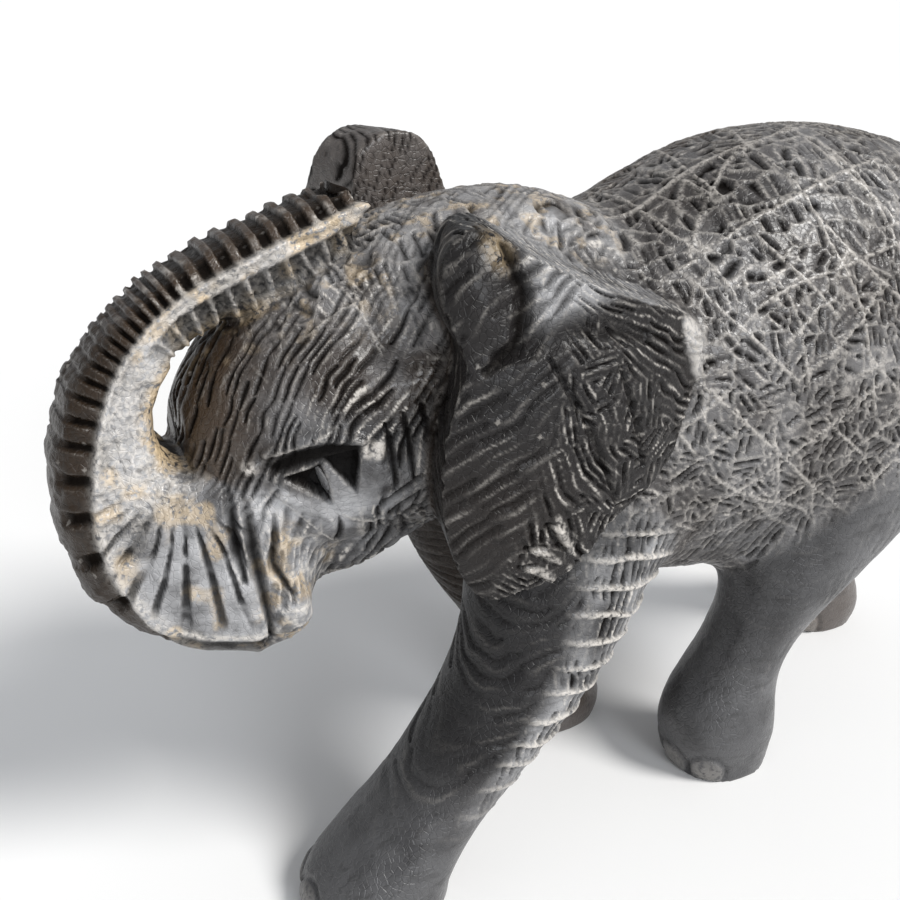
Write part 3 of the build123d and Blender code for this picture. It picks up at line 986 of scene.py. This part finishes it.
def stained_wood(name, gloss=GLOSS):
    """Dark stained hardwood, grained and satin: grey where light is painted, pale where it is worn and where
    highlights are painted, tan where it is worn and where it is stained, and near black where shade is
    painted into its cuts and turned-away sides.
    """
    material = bpy.data.materials.new(name)
    material.use_nodes = True
    tree = material.node_tree
    shader = tree.nodes["Principled BSDF"]
    place = tree.nodes.new("ShaderNodeTexCoord").outputs["Object"]
    stretched = shader_node(tree, "ShaderNodeMapping", Vector=place, Scale=GRAIN_SCALE).outputs[0]
    grain = speckle(tree, stretched, 1.0, 5.0)
    cloud = speckle(tree, place, CLOUD_SCALE, 4.0)
    fleck = speckle(tree, place, FLECK_SCALE, 4.0)
    nick = tree.nodes.new("ShaderNodeTexVoronoi")
    nick.feature = "DISTANCE_TO_EDGE"
    nick.inputs["Scale"].default_value = NICK_SCALE
    connect(tree, nick.inputs["Vector"], place)
    nicks = ramp(tree, nick.outputs["Distance"], 0.0, 0.12)
    pit, pale, tan, light, warm = (attribute(tree, key) for key in CHANNELS[1:])
    colour = mixed(tree, warm, COOL, BROWN)
    # painted light: grey, broken up by clouds
    colour = mixed(tree, times(tree, light, ramp(tree, cloud, 0.25, 0.6)), colour, LIGHT_GREY)
    colour = mixed(tree, times(tree, ramp(tree, grain, 0.5, 0.75), 0.45), colour, NEAR_BLACK)
    # pale where edges are worn and where highlights are painted, broken by flecks
    edges = ramp(tree, tree.nodes.new("ShaderNodeNewGeometry").outputs["Pointiness"], 0.52, 0.62)
    wear_and_highlight = combine(tree, "MAXIMUM", times(tree, edges, 0.7), pale)
    wear_and_highlight = times(tree, wear_and_highlight, ramp(tree, fleck, 0.30, 0.56))
    colour = mixed(tree, times(tree, wear_and_highlight, WEAR_AND_HIGHLIGHT_SHARE), colour, PALE_WEAR_AND_HIGHLIGHT)
    colour = mixed(tree, times(tree, tan, ramp(tree, fleck, 0.35, 0.5)), colour, TAN)
    # painted shade: near black in the cuts and on sides turned from the light
    colour = mixed(tree, times(tree, pit, PAINTED_SHADE_SHARE), colour, NEAR_BLACK)
    connect(tree, shader.inputs["Base Color"], colour)
    rough = shader_node(tree, "ShaderNodeMapRange", Value=fleck)
    rough.inputs["To Min"].default_value = gloss - 0.12
    rough.inputs["To Max"].default_value = gloss + 0.22
    connect(tree, shader.inputs["Roughness"], rough.outputs["Result"])
    smooth = combine(tree, "SUBTRACT", 1.0, pit)
    connect(tree, shader.inputs["Specular IOR Level"], times(tree, smooth, 0.5))
    connect(tree, shader.inputs["Coat Weight"], times(tree, smooth, COAT))
    shader.inputs["Coat Roughness"].default_value = 0.18
    relief = combine(tree, "ADD", times(tree, grain, 0.35), times(tree, fleck, 0.35))
    relief = combine(tree, "ADD", relief, times(tree, nicks, 0.3))
    bump = shader_node(tree, "ShaderNodeBump", Strength=0.55, Distance=0.0007, Height=relief)
    connect(tree, shader.inputs["Normal"], bump.outputs["Normal"])
    return material


SLOT_OF = {entry["node"]: entry["material_slot"] for entry in frame["record"]["subparts"]}
MATERIALS = {slot: stained_wood(slot) for slot in sorted(set(SLOT_OF.values()) - {"eye_wood"})}
MATERIALS["eye_wood"] = stained_wood("eye_wood", EYE_GLOSS)


# ---- the figure ---------------------------------------------------------------------------------
def build_figure():
    """Every carved piece, riding on the frame's one body and standing for its CAD node."""
    low = np.array(cad_bounds[0]) / MM - GRID_MARGIN
    high = np.array(cad_bounds[1]) / MM + GRID_MARGIN
    first = np.floor(low / BASE_STEP).astype(int)
    shape = tuple(int(n) for n in np.ceil(high / BASE_STEP).astype(int) - first + 1)
    distance = {name: node_distance(name, first, shape) for name in frame["nodes"]}
    body = Field(blended_body(distance, first), first, BASE_STEP)
    families = {
        family: Field(np.minimum.reduce([distance[name] for name in names]), first, BASE_STEP)
        for family, names in FAMILIES.items()
    }
    for name in PIECE_STEP:
        others = np.minimum.reduce([distance[other] for other in PIECE_STEP if other != name])
        carved_piece(name, body, distance[name], others, families)
    for name in EYES:
        eye_piece(name)


# ---- floor, light and camera --------------------------------------------------------------------
FLOOR_SIZE = 40.0
FLOOR_COLOUR, FLOOR_ROUGHNESS = (0.86, 0.86, 0.86, 1), 0.9
STUDIO_COLOUR, STUDIO_STRENGTH = (0.95, 0.97, 1.0, 1), 0.48
# The camera's place and angles were fitted to the photo by least squares, with a lens that was chosen.
CAMERA_PLACE = (0.17635, 0.2573, 0.2358)
CAMERA_AZIMUTH, CAMERA_ELEVATION = math.radians(153.47), math.radians(22.84)
CAMERA_LENS = 46.0  # on a 36 mm sensor


def view_direction(azimuth, elevation):
    """The unit vector from the figure towards a camera at that azimuth and elevation."""
    level = math.cos(elevation)
    return Vector((math.sin(azimuth) * level, -math.cos(azimuth) * level, math.sin(elevation)))


def linked(name, data):
    made = bpy.data.objects.new(name, data)
    bpy.context.scene.collection.objects.link(made)
    return made


def add_camera():
    camera = linked("camera", bpy.data.cameras.new("camera"))
    camera.location = CAMERA_PLACE
    toward = view_direction(CAMERA_AZIMUTH, CAMERA_ELEVATION)
    camera.rotation_euler = toward.to_track_quat("Z", "Y").to_euler()
    camera.data.lens = CAMERA_LENS
    camera.data.clip_start = 0.005
    bpy.context.scene.camera = camera


def add_sun(name, toward, strength, softness, colour):
    """A distant soft light that shines from that direction."""
    lamp = bpy.data.lights.new(name, "SUN")
    lamp.energy, lamp.angle, lamp.color = strength, math.radians(softness), colour
    linked(name, lamp).rotation_euler = Vector(toward).to_track_quat("Z", "Y").to_euler()


def add_stage():
    """A pale floor and an even pale studio."""
    mesh = bpy.data.meshes.new("floor")
    half = FLOOR_SIZE / 2
    corners = [(-half, -half, 0), (half, -half, 0), (half, half, 0), (-half, half, 0)]
    mesh.from_pydata(corners, [], [(0, 1, 2, 3)])
    material = bpy.data.materials.new("pale_floor")
    material.use_nodes = True
    shader = material.node_tree.nodes["Principled BSDF"]
    shader.inputs["Base Color"].default_value = FLOOR_COLOUR
    shader.inputs["Roughness"].default_value = FLOOR_ROUGHNESS
    mesh.materials.append(material)
    linked("floor", mesh)
    world = bpy.data.worlds.new("studio")
    bpy.context.scene.world = world
    world.use_nodes = True
    background = world.node_tree.nodes["Background"]
    background.inputs["Color"].default_value = STUDIO_COLOUR
    background.inputs["Strength"].default_value = STUDIO_STRENGTH
    bpy.context.scene.view_settings.view_transform = "Standard"


add_camera()
add_stage()
add_sun("key", (-0.50, 0.65, 0.80), 3.0, 20, (1.0, 0.985, 0.96))
add_sun("side", (-0.05, 0.95, 0.30), 1.2, 24, (0.93, 0.96, 1.0))
build_figure()
